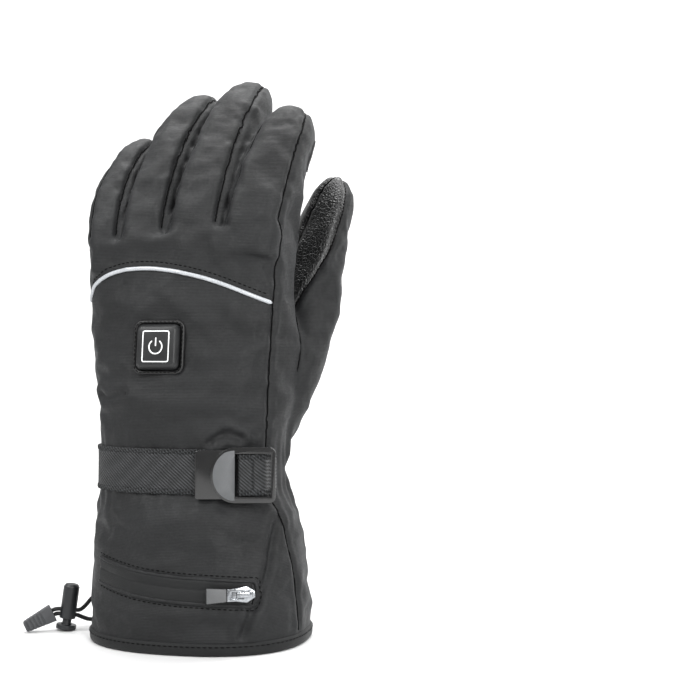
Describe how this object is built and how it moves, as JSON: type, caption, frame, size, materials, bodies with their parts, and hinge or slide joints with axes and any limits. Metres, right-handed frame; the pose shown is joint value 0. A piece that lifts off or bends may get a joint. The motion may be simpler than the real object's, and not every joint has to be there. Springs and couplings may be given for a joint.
{
  "type": "heated glove",
  "caption": "Left-hand padded heated winter glove: charcoal shell, leather palm, power button, buckled wrist strap, zipped battery pocket and hem drawcord with cord lock",
  "frame": {"origin": "centre of the box round the glove without its hem cord, on the surface that its hem stands on", "axes": "+Z from the hem to the fingertips, +X towards the thumb side, -Y out of the back of the hand, +Y out of the palm"},
  "size_m": [0.167, 0.1102, 0.299],
  "materials": {
    "shell_fabric": "dark charcoal fine horizontal-rib woven nylon, slight sheen",
    "binding_fabric": "black bias binding with a light dashed stitch line",
    "patch_leather": "black pebbled leather, soft gloss, stitched edges",
    "reflective_tape": "silver-white reflective piping",
    "strap_webbing": "black twill webbing with ribbed edges",
    "buckle_plastic": "glossy black moulded plastic",
    "bezel_plastic": "matt black moulded plastic with a stitched border",
    "button_rubber": "dark grey silicone pad with a white power symbol",
    "zip_tape_fabric": "black woven zip tape with coil teeth",
    "zip_metal": "polished zip slider and link",
    "grip_rubber": "grey moulded rubber grip",
    "cord_braid": "black braided elastic cord",
    "lock_plastic": "black moulded plastic",
    "tab_rubber": "ribbed grey moulded rubber"
  },
  "bodies": {
    "glove": {"gauntlet_cuff": "shell_fabric", "hand_shell": "shell_fabric", "little_finger": "shell_fabric", "ring_finger": "shell_fabric", "middle_finger": "shell_fabric", "index_finger": "shell_fabric", "thumb": "shell_fabric", "hem_binding": "binding_fabric", "palm_patch": "patch_leather", "thumb_patch": "patch_leather", "touch_patch": "patch_leather", "reflective_piping": "reflective_tape", "button_bezel": "bezel_plastic", "power_button": "button_rubber", "wrist_strap": "strap_webbing", "buckle_plate": "buckle_plastic", "buckle_frame": "buckle_plastic", "strap_tail": "strap_webbing", "zip_tape": "zip_tape_fabric", "zip_slider": "zip_metal", "drawcord_lower": "cord_braid", "drawcord_upper": "cord_braid", "cord_lock_barrel": "lock_plastic", "pull_tab": "tab_rubber"},
    "zip_pull": {"zip_pull_link": "zip_metal", "zip_pull_grip": "grip_rubber"},
    "lock_plunger": {"cord_lock_plunger": "lock_plastic"}
  },
  "joints": [
    {"name": "zip_pull_swing", "type": "hinge", "parent": "glove", "child": "zip_pull", "pos_m": [0.03202, -0.04592, 0.03075], "axis": [-0.053, 0.1028, 0.9933], "range_deg": [0, 165]},
    {"name": "lock_plunger_press", "type": "slide", "parent": "glove", "child": "lock_plunger", "axis": [0.1205, 0.0696, 0.9903], "range_m": [0, 0.003], "stiffness_N_per_m": 150, "springref_m": -0.003}
  ]
}
